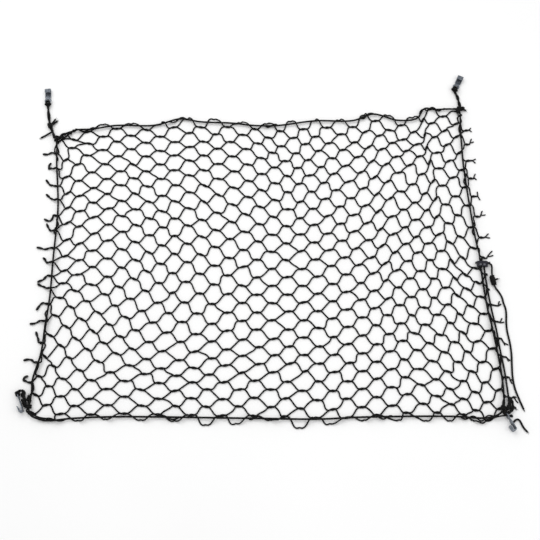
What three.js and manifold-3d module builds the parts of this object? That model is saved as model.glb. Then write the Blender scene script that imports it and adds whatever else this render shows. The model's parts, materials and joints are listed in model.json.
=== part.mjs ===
// A knotless cargo net for a load bed, laid out flat on the surface: a panel of six-sided meshes on a
// draw cord, with a cord lock, two loose cord ends and four steel hooks on doubled tether cords.
// Millimetres. +X runs along the long side, +Y towards the far long side and +Z up. The origin is on
// the surface under the joint of the mesh at the middle of the panel.
import * as THREE from 'three';
import { mergeVertices } from 'three/addons/utils/BufferGeometryUtils.js';
import Module from 'manifold-3d';

const wasm = await Module();
wasm.setup();

// Driving dimensions
const GAP = 0.3;
const PANEL_LENGTH = 1200;
const PANEL_DEPTH = 900;
const STRAND = 3.5;
const CORD = 5;
const TUBE_SIDES = 8;

// The mesh is built at 1.6 times the real pitch of 75 by 51, with 220 gaps in place of the real 560.
const MESH = {
  columns: 21,
  halfRows: 22,
  jointLength: 31,
  jointWidth: 5,
  legWidth: 3.8,
  sideMargin: 0.62,
  endMargin: 0.2,
};

// The cut tails at the panel's sides: single on the left, forked on the right.
const TAIL = { width: 4.2, reach: 24, swing: 10 };
const FORK = { width: 3.4, branch: 3, reach: 13, rise: 2, spread: 6.5 };

const HOOK = {
  thickness: 2.2,
  eyeRadius: 10,
  holeRadius: 5,
  neckWidth: 11,
  width: 17,
  length: 50,
  shoulder: 3,
  shank: 8,
  throat: 7,
  tongue: 17,
  lip: 2,
  bend: 3,
};

// The cord lock is a block with two channels for cords that run along Y.
const LOCK = {
  x: 565.5,
  y: 11,
  width: 30,
  length: 16,
  height: 9.2,
  round: 3.5,
  channelSpread: 9,
  channelRadius: 2.85,
  dimpleRadius: 2.4,
  dimpleDepth: 1.2,
};

// Turns of cord: the ring that holds a hook's eye or the draw cord, and a knot's own turns.
const RING = { radius: 5.4, cord: 4.8 };
const KNOT = { core: 5.4, radius: 4.6, cord: 5, spacing: 3.2 };

// Heights of a cord's middle: on the surface, on the net, in the lock, at a hook's eye, in a knot and
// inside a tether's ring, and in a knot that lies on the net.
const ON_SURFACE = CORD / 2 + 0.1;
const ON_NET = STRAND + GAP + CORD / 2;
const IN_LOCK = 8.4;
const AT_EYE = 8.1;
const IN_KNOT = 7.6;
const IN_RING = 11.8;
const ON_TOP = 11.2;

// How the panel lies: the draw cord's run along each side, from west to east or from south to north.
const FAR_SIDE = [
  [-626, 415], [-600, 421], [-572, 441], [-525, 442], [-460, 452], [-345, 453], [-270, 475],
  [-215, 465], [-120, 460], [-55, 452], [10, 452], [120, 468], [230, 469], [290, 493], [360, 470],
  [405, 475], [440, 515], [505, 512], [542, 501],
];
const NEAR_SIDE = [
  [-627, -412], [-580, -425], [-510, -419], [-405, -415], [-60, -419], [115, -421], [220, -416],
  [450, -414], [525, -421], [593, -404],
];
const LEFT_SIDE = [
  [-627, -412], [-625, -355], [-625, -318], [-610, -245], [-606, -165], [-601, -85], [-602, 20],
  [-602, 180], [-610, 260], [-618, 325], [-626, 415],
];
const RIGHT_SIDE = [
  [593, -404], [590, -342], [588, -288], [577, -177], [569, -120], [562, -10], [560, 40], [554, 88],
  [546, 190], [539, 315], [539, 375], [542, 501],
];

// Where handling has dragged the mesh off an even spread: place, drag and reach.
const DRAGS = [
  { x: 180, y: 20, dragX: 40, dragY: -15, reach: 380 },
  { x: -570, y: 60, dragX: 0, dragY: 25, reach: 170 },
  { x: -480, y: -330, dragX: -35, dragY: 0, reach: 150 },
  { x: -260, y: -190, dragX: -5, dragY: -35, reach: 170 },
  { x: 450, y: 330, dragX: 0, dragY: 5, reach: 130 },
  { x: 530, y: -80, dragX: -5, dragY: -20, reach: 170 },
  { x: -420, y: 300, dragX: 0, dragY: 15, reach: 200 },
  { x: 130, y: -330, dragX: 10, dragY: -10, reach: 220 },
  { x: -90, y: 330, dragX: 30, dragY: 10, reach: 170 },
  { x: -60, y: -20, dragX: -10, dragY: -5, reach: 150 },
  { x: 330, y: 300, dragX: 15, dragY: 15, reach: 130 },
];

const MATERIALS = {
  net: new THREE.MeshStandardMaterial({ color: 0x101012, roughness: 0.82, metalness: 0 }),
  cord: new THREE.MeshStandardMaterial({ color: 0x0c0c0e, roughness: 0.7, metalness: 0 }),
  lock: new THREE.MeshStandardMaterial({ color: 0x14151c, roughness: 0.4, metalness: 0 }),
  steel: new THREE.MeshStandardMaterial({ color: 0x8b929a, roughness: 0.32, metalness: 1 }),
};

const cargoNet = new THREE.Group();

function addMesh(name, geometry, material) {
  const mesh = new THREE.Mesh(geometry, material);
  mesh.name = name;
  cargoNet.add(mesh);
}

// ---- solids ------------------------------------------------------------------------------------

function welded(geometry) {
  const bare = geometry.clone();
  bare.deleteAttribute('normal');
  bare.deleteAttribute('uv');
  return mergeVertices(bare, 1e-4);
}

function toSolid(geometry) {
  const closed = welded(geometry);
  return new wasm.Manifold(new wasm.Mesh({
    numProp: 3,
    vertProperties: new Float32Array(closed.attributes.position.array),
    triVerts: new Uint32Array(closed.index.array),
  }));
}

function toGeometry(solid) {
  const mesh = solid.getMesh();
  const geometry = new THREE.BufferGeometry();
  geometry.setAttribute('position', new THREE.BufferAttribute(mesh.vertProperties, 3));
  geometry.setIndex(new THREE.BufferAttribute(mesh.triVerts, 1));
  geometry.computeVertexNormals();
  return geometry;
}

const joined = (geometries) => toGeometry(
  geometries.map(toSolid).reduce((whole, piece) => whole.add(piece)),
);

const polygonShape = (points) => new THREE.Shape(points.map(([x, y]) => new THREE.Vector2(x, y)));

function slab(points, thickness) {
  return new THREE.ExtrudeGeometry(polygonShape(points), { depth: thickness, bevelEnabled: false });
}

function circlePoints(radius, sides) {
  return Array.from({ length: sides }, (_, k) => {
    const angle = (2 * Math.PI * (k + 0.5)) / sides;
    return [radius * Math.cos(angle), radius * Math.sin(angle)];
  });
}

// A smooth curve through a route's points, stepped evenly between them, so that bends keep their form.
class CordPath extends THREE.CatmullRomCurve3 {
  getPointAt(share, target) {
    return this.getPoint(share, target);
  }

  getTangentAt(share, target) {
    return this.getTangent(share, target);
  }
}

// A round cord along a route, with so many steps from each of its points to the next.
function cordTube(route, { diameter = CORD, stepsEach = 2, closed = false, sides = TUBE_SIDES } = {}) {
  const points = route.map(([x, y, z]) => new THREE.Vector3(x, y, z));
  const path = new CordPath(points, closed, 'centripetal');
  const steps = stepsEach * (closed ? points.length : points.length - 1);
  const section = polygonShape(circlePoints(diameter / 2, sides));
  return new THREE.ExtrudeGeometry(section, { steps, extrudePath: path, bevelEnabled: false });
}

// A ring of cord round a point. heading and lean turn its axis, which starts along +X.
function cordRing([x, y, z], radius, cord, heading = 0, lean = 0) {
  const ring = new THREE.TorusGeometry(radius, cord / 2, 5, 8);
  ring.rotateY(Math.PI / 2);
  ring.rotateY(lean);
  ring.rotateZ(heading);
  return ring.translate(x, y, z);
}

// ---- how the panel lies ------------------------------------------------------------------------

// A point at a share of a side's length, from 0 to 1.
function alongSide(side, share) {
  const steps = side.slice(1).map((p, i) => Math.hypot(p[0] - side[i][0], p[1] - side[i][1]));
  let left = THREE.MathUtils.clamp(share, 0, 1) * steps.reduce((sum, step) => sum + step, 0);
  let i = 0;
  while (i < steps.length - 1 && left > steps[i]) {
    left -= steps[i];
    i += 1;
  }
  const part = left / steps[i];
  return side[i].map((value, axis) => value + part * (side[i + 1][axis] - value));
}

// A place on the panel: across and up run from 0 to 1 between the draw cord's runs.
function layPoint(across, up) {
  const s = THREE.MathUtils.clamp(across, 0, 1);
  const t = THREE.MathUtils.clamp(up, 0, 1);
  const far = alongSide(FAR_SIDE, s);
  const near = alongSide(NEAR_SIDE, s);
  const left = alongSide(LEFT_SIDE, t);
  const right = alongSide(RIGHT_SIDE, t);
  const [farLeft, farRight] = [FAR_SIDE[0], FAR_SIDE[FAR_SIDE.length - 1]];
  const [nearLeft, nearRight] = [NEAR_SIDE[0], NEAR_SIDE[NEAR_SIDE.length - 1]];
  const [x, y] = [0, 1].map((axis) => (
    (1 - t) * near[axis] + t * far[axis] + (1 - s) * left[axis] + s * right[axis]
    - (1 - t) * ((1 - s) * nearLeft[axis] + s * nearRight[axis])
    - t * ((1 - s) * farLeft[axis] + s * farRight[axis])
  ));
  const place = [x + (across - s) * PANEL_LENGTH, y + (up - t) * PANEL_DEPTH];
  for (const drag of DRAGS) {
    const away = ((x - drag.x) ** 2 + (y - drag.y) ** 2) / drag.reach ** 2;
    place[0] += drag.dragX * Math.exp(-away);
    place[1] += drag.dragY * Math.exp(-away);
  }
  return place;
}

// ---- the net -----------------------------------------------------------------------------------

// Column and half row of the mesh, as shares of the panel. A joint sits where column + row is odd.
function meshPoint(column, row) {
  const across = (column + MESH.sideMargin) / (MESH.columns - 1 + 2 * MESH.sideMargin);
  const up = (row - MESH.endMargin) / (MESH.halfRows - 2 * MESH.endMargin);
  return layPoint(across, up);
}

// A joint's two ends, along the way that its row runs there.
function jointEnds(column, row) {
  const [x, y] = meshPoint(column, row);
  const [x0, y0] = meshPoint(column - 0.5, row);
  const [x1, y1] = meshPoint(column + 0.5, row);
  const length = Math.hypot(x1 - x0, y1 - y0);
  const reach = [(x1 - x0), (y1 - y0)].map((side) => (side / length) * (MESH.jointLength / 2));
  return { left: [x - reach[0], y - reach[1]], right: [x + reach[0], y + reach[1]] };
}

// Moves each edge of an anticlockwise polygon inwards by its own amount, outwards if it is negative.
function inset(points, amounts) {
  const edges = points.map((p, i) => {
    const q = points[(i + 1) % points.length];
    const length = Math.hypot(q[0] - p[0], q[1] - p[1]);
    const along = [(q[0] - p[0]) / length, (q[1] - p[1]) / length];
    const inward = [-along[1], along[0]];
    const start = [p[0] + inward[0] * amounts[i], p[1] + inward[1] * amounts[i]];
    return { along, start };
  });
  return edges.map((edge, i) => {
    const before = edges[(i + edges.length - 1) % edges.length];
    const cross = before.along[0] * edge.along[1] - before.along[1] * edge.along[0];
    const apart = [edge.start[0] - before.start[0], edge.start[1] - before.start[1]];
    const far = (apart[0] * edge.along[1] - apart[1] * edge.along[0]) / cross;
    return [before.start[0] + before.along[0] * far, before.start[1] + before.along[1] * far];
  });
}

// The six-sided gap between four joints: left, under, right and over it.
function gapPoints(column, row) {
  const over = jointEnds(column, row + 1);
  const under = jointEnds(column, row - 1);
  const corners = [
    jointEnds(column - 1, row).right, under.left, under.right,
    jointEnds(column + 1, row).left, over.right, over.left,
  ];
  const [leg, joint] = [MESH.legWidth / 2, MESH.jointWidth / 2];
  return inset(corners, [leg, joint, leg, leg, joint, leg]);
}

function meshGaps() {
  const gaps = [];
  for (let column = 0; column < MESH.columns; column += 1) {
    const first = column % 2 === 0 ? 2 : 1;
    for (let row = first; row < MESH.halfRows; row += 2) gaps.push(gapPoints(column, row));
  }
  return gaps;
}

// The net's outline, anticlockwise from the near left corner, through the outermost joints.
function meshOutline() {
  const last = MESH.columns - 1;
  const near = [];
  const far = [];
  for (let column = 0; column <= last; column += 1) {
    const low = column % 2 === 0 ? 1 : 0;
    const lowest = jointEnds(column, low);
    const highest = jointEnds(column, MESH.halfRows - low);
    near.push(lowest.left, lowest.right);
    far.unshift(highest.right, highest.left);
  }
  const right = [];
  const left = [];
  for (let row = 2; row < MESH.halfRows; row += 2) {
    right.push(jointEnds(MESH.columns, row).left, jointEnds(last, row + 1).right);
    left.unshift(jointEnds(0, row + 1).left, jointEnds(-1, row).right);
  }
  const corners = [...near, ...right.slice(0, -1), ...far, ...left.slice(1)];
  return inset(corners, corners.map(() => -MESH.legWidth / 2));
}

// A cut side tail: a strip along a short route on the surface.
function strip(route, width) {
  const half = width / 2;
  const sides = [1, -1].map((side) => route.map((p, i) => {
    const a = route[Math.max(i - 1, 0)];
    const b = route[Math.min(i + 1, route.length - 1)];
    const length = Math.hypot(b[0] - a[0], b[1] - a[1]);
    return [p[0] - side * half * (b[1] - a[1]) / length, p[1] + side * half * (b[0] - a[0]) / length];
  }));
  return slab([...sides[1], ...sides[0].reverse()], STRAND);
}

// The left tails are single bent ends. reach and lift change from one to the next.
function leftTails() {
  const tails = [];
  for (let row = 4; row < MESH.halfRows; row += 2) {
    const [x, y] = jointEnds(-1, row).right;
    const reach = TAIL.reach * (1 + 0.25 * Math.sin(2.1 * row));
    const lift = TAIL.swing * Math.sin(1.3 * row + 2);
    const bend = [x - 0.6 * reach, y + 0.4 * lift];
    tails.push(strip([[x + 6, y], [x - 8, y], bend, [x - reach, y + lift]], TAIL.width));
  }
  return tails;
}

// The right tails fork in two, where the joint's strands have come apart.
function rightTails() {
  const tails = [];
  for (let row = 4; row < MESH.halfRows; row += 2) {
    const [x, y] = jointEnds(MESH.columns, row).left;
    const reach = FORK.reach * (1 + 0.23 * Math.sin(1.7 * row));
    const rise = FORK.rise * (1 + 1.5 * Math.sin(0.9 * row));
    const fork = [x + 0.55 * reach, y + 0.3 * rise];
    tails.push(strip([[x - 5, y], fork, [x + reach, y + rise + FORK.spread]], FORK.width));
    tails.push(strip([[x + 0.4 * reach, y], [x + reach, y + rise - FORK.spread]], FORK.branch));
  }
  return tails;
}

function netPanel() {
  const shape = polygonShape(meshOutline());
  shape.holes = meshGaps().map((gap) => new THREE.Path(gap.map(([x, y]) => new THREE.Vector2(x, y))));
  const panel = new THREE.ExtrudeGeometry(shape, { depth: STRAND, bevelEnabled: false });
  return joined([panel, ...leftTails(), ...rightTails()]);
}

addMesh('net', netPanel(), MATERIALS.net);

// ---- the draw cord, the lock and its cord ------------------------------------------------------

const atHeight = (points, z) => points.map(([x, y]) => [x, y, z]);

// The draw cord is one ring round the panel. It lies on the net, and rises through the lock and
// through the tethers' rings at the corners.
function drawCord() {
  const belowLock = RIGHT_SIDE.slice(1).filter(([, y]) => y < -50);
  const aboveLock = RIGHT_SIDE.filter(([, y]) => y > 60 && y < 460);
  const route = [
    ...atHeight(belowLock, ON_NET),
    [562, -20, 7], [561, 2, IN_LOCK], [561, 20, IN_LOCK], [560, 46, 7],
    ...atHeight(aboveLock, ON_NET),
    [540, 448, ON_NET], [542, 475, 9], [541, 493, IN_RING], [533, 503, IN_RING], [519, 508, 8],
    ...atHeight(FAR_SIDE.slice(1, -2).reverse(), ON_NET),
    [-613, 420, 9], [-623, 413, IN_RING], [-624, 402, IN_RING], [-622, 378, 8],
    ...atHeight(LEFT_SIDE.slice(2, -1).reverse(), ON_NET),
    [-624, -352, 7], [-626, -380, IN_RING], [-626, -398, IN_RING], [-618, -413, IN_RING],
    [-600, -421, 8],
    ...atHeight(NEAR_SIDE.slice(1, -2), ON_NET),
    [540, -418, ON_NET], [566, -412, 9], [581, -401, IN_RING], [587, -384, IN_RING], [589, -360, 8],
  ];
  return cordTube(route, { stepsEach: 1, closed: true });
}

// The lock's own cord: up beside the draw cord, into the lock, and out of its end as the loose end.
const LOCK_CORD = [
  [600, -384.4, 9.5], [600, -366, 7], [598, -342, ON_NET], [595, -288, ON_NET],
  [588, -232, ON_NET], [584, -177, ON_NET], [577, -120, ON_NET], [573, -60, ON_NET],
  [571, -20, 7.2], [570, 2, IN_LOCK], [570, 10, IN_LOCK],
];
const LOOSE_END = [
  [581.5, 13, 8.4], [586, 12, 8.4], [590, 8.5, 8.4], [591, 2, 8.3], [590, -8, 8.2],
  [589.6, -18, 8.2], [590.1, -31, 8.2], [590.6, -44, 8.2], [596, -58, 6], [604, -69, 3.4],
  [611, -84, ON_SURFACE], [614, -101, ON_SURFACE], [618, -119, ON_SURFACE],
  [618, -136, ON_SURFACE], [616, -156, ON_SURFACE], [616, -182, ON_SURFACE],
  [620, -214, ON_SURFACE], [621, -247, ON_SURFACE], [619, -279, ON_SURFACE],
  [618, -310, ON_SURFACE], [621, -340, ON_SURFACE], [629, -368, ON_SURFACE],
  [638, -395, ON_SURFACE],
];
const CORNER_END = [
  [605.1, -430.9, ON_SURFACE], [609, -427.5, ON_SURFACE], [613.5, -423, ON_SURFACE],
  [619.5, -420.5, ON_SURFACE], [624, -423, ON_SURFACE], [627, -429, ON_SURFACE],
  [630, -436.5, ON_SURFACE], [634.5, -445, ON_SURFACE], [641, -453, ON_SURFACE],
];
const STOPPER = { x: 590.1, y: -31, z: 8.2, heading: -1.532, bore: 2.85, neck: 5.6, crown: 7.6, turn: 7 };

function roundedRectangle(width, height, round) {
  const shape = new THREE.Shape();
  const [x, y] = [width / 2 - round, height / 2 - round];
  shape.absarc(x, -y, round, -Math.PI / 2, 0, false);
  shape.absarc(x, y, round, 0, Math.PI / 2, false);
  shape.absarc(-x, y, round, Math.PI / 2, Math.PI, false);
  shape.absarc(-x, -y, round, Math.PI, 1.5 * Math.PI, false);
  return shape;
}

function cordLock() {
  const section = roundedRectangle(LOCK.width, LOCK.height, LOCK.round);
  section.holes = [-1, 1].map((side) => {
    const hole = new THREE.Path();
    return hole.absarc(side * LOCK.channelSpread / 2, 0, LOCK.channelRadius, 0, 2 * Math.PI, true);
  });
  const block = new THREE.ExtrudeGeometry(section, {
    depth: LOCK.length, curveSegments: 4, bevelEnabled: false,
  });
  block.translate(0, 0, -LOCK.length / 2).rotateX(Math.PI / 2);
  const dimples = [-1, 1].map((side) => {
    const { dimpleRadius: radius, dimpleDepth: depth } = LOCK;
    const dimple = new THREE.CylinderGeometry(radius, radius, 2 * depth, 10);
    return dimple.rotateX(Math.PI / 2).translate(side * LOCK.channelSpread / 2, 0, LOCK.height / 2);
  });
  const body = dimples.map(toSolid).reduce((whole, dimple) => whole.subtract(dimple), toSolid(block));
  return toGeometry(body).translate(LOCK.x, LOCK.y, IN_LOCK);
}

// A knot of three turns pulled tight round the loose end, as a sleeve with three humps.
function stopperKnot() {
  const profile = [new THREE.Vector2(STOPPER.bore, -1.5 * STOPPER.turn)];
  for (const middle of [-1, 0, 1]) {
    const start = (middle - 0.5) * STOPPER.turn;
    profile.push(new THREE.Vector2(STOPPER.neck, start + 0.6));
    profile.push(new THREE.Vector2(STOPPER.crown, start + 0.35 * STOPPER.turn));
    profile.push(new THREE.Vector2(STOPPER.crown, start + 0.65 * STOPPER.turn));
    profile.push(new THREE.Vector2(STOPPER.neck, start + STOPPER.turn - 0.6));
  }
  profile.push(new THREE.Vector2(STOPPER.bore, 1.5 * STOPPER.turn));
  profile.push(profile[0].clone());
  const knot = new THREE.LatheGeometry(profile, 12);
  knot.rotateZ(-Math.PI / 2).rotateZ(STOPPER.heading);
  return knot.translate(STOPPER.x, STOPPER.y, STOPPER.z);
}

addMesh('draw_cord', drawCord(), MATERIALS.cord);
addMesh('lock_cord', cordTube(LOCK_CORD), MATERIALS.cord);
addMesh('cord_lock', cordLock(), MATERIALS.lock);
addMesh('loose_cord', cordTube(LOOSE_END), MATERIALS.cord);
addMesh('stopper_knot', stopperKnot(), MATERIALS.cord);
addMesh('corner_cord_end', cordTube(CORNER_END), MATERIALS.cord);

// ---- the hooks ---------------------------------------------------------------------------------

// Where each hook lies: the middle of its eye's rim, the way that it points, and how it is turned.
// The far hooks lie on their backs with the eye propped on the cord, the near ones on their sides.
const ON_BACK = { turn: 0, drop: 0.155, height: AT_EYE };
const ON_SIDE = { turn: Math.PI / 2, drop: 0, height: HOOK.eyeRadius + 0.1 };
const HOOKS = {
  far_left: { x: -661, y: 530, heading: 1.67, ...ON_BACK },
  far_right: { x: 535, y: 579, heading: 1.13, ...ON_BACK },
  near_left: { x: -658, y: -357, heading: -1.19, ...ON_SIDE },
  near_right: { x: 590, y: -408, heading: -1.08, ...ON_SIDE },
};

// The stamped blank: the round eye, the neck and the start of the shank.
function hookBlank() {
  const shape = new THREE.Shape();
  const middle = HOOK.eyeRadius - (HOOK.eyeRadius - HOOK.holeRadius) / 2;
  const neck = Math.asin(HOOK.neckWidth / 2 / HOOK.eyeRadius);
  shape.absarc(middle, 0, HOOK.eyeRadius, neck, 2 * Math.PI - neck, false);
  const rim = middle + HOOK.eyeRadius;
  shape.lineTo(rim + HOOK.shoulder, -HOOK.width / 2);
  shape.lineTo(rim + HOOK.shank, -HOOK.width / 2);
  shape.lineTo(rim + HOOK.shank, HOOK.width / 2);
  shape.lineTo(rim + HOOK.shoulder, HOOK.width / 2);
  const hole = new THREE.Path();
  shape.holes = [hole.absarc(middle, 0, HOOK.holeRadius, 0, 2 * Math.PI, true)];
  const blank = new THREE.ExtrudeGeometry(shape, {
    depth: HOOK.thickness, curveSegments: 10, bevelEnabled: false,
  });
  return blank.translate(0, 0, -HOOK.thickness / 2);
}

// The shank's end, folded up and back over itself, as a side view drawn out to the hook's width.
function hookFold() {
  const t = HOOK.thickness;
  const start = 2 * HOOK.eyeRadius;
  const end = HOOK.length - (HOOK.eyeRadius - HOOK.holeRadius) / 2;
  const [low, high] = [-t / 2, t / 2 + HOOK.throat + t];
  const [outer, inner] = [HOOK.bend, HOOK.bend - 1];
  const [tip, lip] = [end - HOOK.tongue, high + HOOK.lip];
  const side = [
    [start, low], [end - outer, low], [end - outer * 0.3, low + outer * 0.3], [end, low + outer],
    [end, high - outer], [end - outer * 0.3, high - outer * 0.3], [end - outer, high],
    [tip + 4, high], [tip, lip], [tip - 0.8, lip - t],
    [tip + 3.5, high - t], [end - t - inner, high - t], [end - t, high - t - inner],
    [end - t, low + t + inner], [end - t - inner, low + t], [start, low + t],
  ];
  const fold = slab(side, HOOK.width).translate(0, 0, -HOOK.width / 2);
  return fold.rotateX(Math.PI / 2);
}

function hook({ x, y, heading, turn, drop, height }) {
  const steel = joined([hookBlank(), hookFold()]);
  steel.rotateX(turn).rotateY(drop).rotateZ(heading);
  return steel.translate(x, y, height);
}

for (const [corner, place] of Object.entries(HOOKS)) {
  addMesh(`hook_${corner}`, hook(place), MATERIALS.steel);
}

// ---- the tethers -------------------------------------------------------------------------------

// Each tether: its ring round the draw cord, its knot, its run from the ring to the hook, and its
// cut ends. The run is two cords side by side.
const TETHERS = {
  far_left: {
    ring: { at: [-623.5, 407.5, IN_RING], heading: 1.48 },
    knot: { at: [-648, 452, IN_KNOT], heading: 1.9 },
    run: [
      [-630.5, 409, 10.5], [-637, 427, IN_KNOT], [-648, 452, IN_KNOT], [-652, 468, 5],
      [-656, 490, 3.5], [-659, 508, 4.5], [-660.5, 524.6, AT_EYE],
    ],
    ends: [
      [[-646, 455, 8], [-640, 464, 6], [-636, 474, 4]],
      [[-644, 452, 8], [-637, 460, 5], [-630, 469, 3.5]],
      [[-636, 425, 7], [-654, 420, 4], [-671, 413, 3]],
    ],
  },
  far_right: {
    ring: { at: [537, 498, IN_RING], heading: 2.25 },
    knot: { at: [545, 509, IN_KNOT], heading: 1.5 },
    run: [
      [541, 503, 9], [545, 509, IN_KNOT], [544, 522, 6], [542, 538, 4], [539, 555, 4],
      [534, 566, 6], [532.7, 574.1, AT_EYE],
    ],
    ends: [
      [[541, 509, 8], [534, 510, 6], [527, 509, 7.5]],
      [[548, 507, 8.4], [556, 507, 6], [562, 502, 5]],
    ],
  },
  near_left: {
    ring: { at: [-626, -389, IN_RING], heading: 1.571 },
    knot: { at: [-641, -375, IN_KNOT], heading: 1.4 },
    run: [
      [-631.6, -388, 10.5], [-636, -383, IN_KNOT], [-641, -375, IN_KNOT], [-641, -360, 7],
      [-643, -346, 7.2], [-651, -339, 7.6], [-659, -343, 9], [-660, -351.6, 10.1],
    ],
    ends: [[[-638, -372, 8], [-633, -367, 7], [-631, -359, 7]]],
  },
  near_right: {
    ring: { at: [584, -392.5, IN_RING], heading: 1.23 },
    knot: { at: [600, -392, ON_TOP], heading: 0.4 },
    run: [
      [590, -392, ON_TOP], [600, -392, ON_TOP], [608, -394, 8], [612, -400, 6], [608, -406, 7],
      [601, -406.5, 9], [594.8, -405.5, 10.1],
    ],
    ends: [[[603, -390, ON_TOP], [611, -388, 7], [617, -392, 4]]],
  },
};

// One side of a doubled run, half a cord's width off its middle line.
function besideRun(run, side) {
  return run.map(([x, y, z], i) => {
    const [x0, y0] = run[Math.max(i - 1, 0)];
    const [x1, y1] = run[Math.min(i + 1, run.length - 1)];
    const shift = side * 0.46 * CORD / Math.hypot(x1 - x0, y1 - y0);
    return [x - shift * (y1 - y0), y + shift * (x1 - x0), z];
  });
}

function knotTurns({ at, heading }) {
  const core = new THREE.SphereGeometry(KNOT.core, 8, 6).translate(...at);
  const turns = [-1, 1].map((side) => cordRing([
    at[0] + side * KNOT.spacing * Math.cos(heading),
    at[1] + side * KNOT.spacing * Math.sin(heading),
    at[2],
  ], KNOT.radius, KNOT.cord, heading));
  return [core, ...turns, cordRing(at, KNOT.radius, KNOT.cord, heading + 0.7, 0.5)];
}

function tether({ ring, knot, run, ends }, { x, y, height, heading, turn }) {
  const roundRim = turn === 0
    ? cordRing([x, y, height], RING.radius, RING.cord, heading + Math.PI / 2)
    : cordRing([x, y, height], RING.radius, RING.cord, 0, Math.PI / 2);
  return joined([
    roundRim,
    cordRing(ring.at, RING.radius, RING.cord, ring.heading),
    ...knotTurns(knot),
    ...[-1, 1].map((side) => cordTube(besideRun(run, side), { stepsEach: 1 })),
    ...ends.map((end) => cordTube(end, { diameter: 0.9 * CORD, sides: 6, stepsEach: 1 })),
  ]);
}

for (const [corner, parts] of Object.entries(TETHERS)) {
  addMesh(`tether_${corner}`, tether(parts, HOOKS[corner]), MATERIALS.cord);
}

export default cargoNet;
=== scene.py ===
import json
import math
import random

import bmesh
import bpy
import numpy as np
from mathutils import Matrix, Vector

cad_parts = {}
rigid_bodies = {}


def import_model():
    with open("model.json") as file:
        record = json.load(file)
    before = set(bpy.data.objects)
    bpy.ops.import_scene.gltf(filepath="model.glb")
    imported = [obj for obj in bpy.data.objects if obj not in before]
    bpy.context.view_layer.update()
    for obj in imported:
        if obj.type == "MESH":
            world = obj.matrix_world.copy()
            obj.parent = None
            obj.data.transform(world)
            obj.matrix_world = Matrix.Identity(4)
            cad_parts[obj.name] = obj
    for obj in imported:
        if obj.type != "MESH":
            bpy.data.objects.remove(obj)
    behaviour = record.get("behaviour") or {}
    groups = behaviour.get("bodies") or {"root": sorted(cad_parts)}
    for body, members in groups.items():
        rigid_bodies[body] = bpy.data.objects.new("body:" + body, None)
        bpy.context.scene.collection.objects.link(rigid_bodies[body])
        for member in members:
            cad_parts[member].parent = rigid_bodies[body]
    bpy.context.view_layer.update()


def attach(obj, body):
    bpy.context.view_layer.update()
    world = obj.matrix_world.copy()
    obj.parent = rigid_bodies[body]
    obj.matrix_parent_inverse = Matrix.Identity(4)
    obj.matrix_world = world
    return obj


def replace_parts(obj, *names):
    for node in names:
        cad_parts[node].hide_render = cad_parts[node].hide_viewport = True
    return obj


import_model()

# Lengths are in millimetres unless a name or comment says metres. MM makes them metres.
MM = 0.001
PANEL_LENGTH = 1200
PANEL_DEPTH = 900

# The cord's diameter, and its radius in the loose ends, the draw and lock cords, and tethers and knots.
CORD_RADIUS = 2.6
DRAW_RADIUS = 2.55
TIE_RADIUS = 2.5

# Heights of a cord's middle. AT_EYE is a hook's, IN_RING a tether's, and ON_TOP a knot's on the net.
ON_NET = 7.2
IN_LOCK = 8.4
AT_EYE = 8.4
IN_KNOT = 7.6
IN_RING = 11.8
ON_TOP = 11.2

# The mesh: columns, and half rows from its middle to an edge. Column 0 is LEFT_INSET in from the left
# side, and the outermost half rows are ROW_OVERHANG past the near and far sides.
COLUMNS = 32
HALF_ROWS = 18
PANEL_COLUMNS = COLUMNS + 0.3
LEFT_INSET = 0.9
ROW_OVERHANG = 0.3

# Strands: their radius, and the height of their middles in the legs.
STRAND_RADIUS = 2.1
STRAND_HEIGHT = STRAND_RADIUS + 0.1
STRAND_SIDES = 6

# Joints: their length inside the net and at its edge, and how their strands lie out, up and over.
JOINT_LENGTH = 11
SIDE_JOINT = 7
JOINT_SPREAD = 1.8
JOINT_LIFT = 0.4
JOINT_WAVE = 0.35
JOINT_STEPS = 3

# How much joints vary: their turn in degrees, their place and their length. Those at the edge keep only
# EDGE_SHARE of the turn and the shift.
JOINT_TURN = 5.5
JOINT_SHIFT = 1.2
JOINT_STRETCH = (0.88, 1.1)
EDGE_SHARE = 0.4

# Legs: their length, how far they bow when taut, with slack and at most, and how far they kink.
LEG_LENGTH = 42
LEG_STEPS = 10
TAUT_BOW = 0.6
SLACK_BOW = 0.55
WIDEST_BOW = 5.5
KINK = 0.7
SHARP_KINK_SHARE = 0.15
SHARP_KINK = (2.0, 3.4)

UP = np.array([0.0, 0.0, 1.0])
rng = random.Random(14)


# ---- the camera

CAMERA_AT_M = (-0.011, -1.1089, 2.484)
CAMERA_LENS = 66.67
CAMERA_SENSOR = 36
CAMERA_TILT = math.radians(24)


def add_object(name, data):
    thing = bpy.data.objects.new(name, data)
    bpy.context.collection.objects.link(thing)
    return thing


def add_camera():
    data = bpy.data.cameras.new("camera")
    data.lens = CAMERA_LENS
    data.sensor_width = CAMERA_SENSOR
    camera = add_object("camera", data)
    camera.location = CAMERA_AT_M
    camera.rotation_euler = (CAMERA_TILT, 0, 0)
    bpy.context.scene.camera = camera


# ---- paths and tubes

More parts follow.
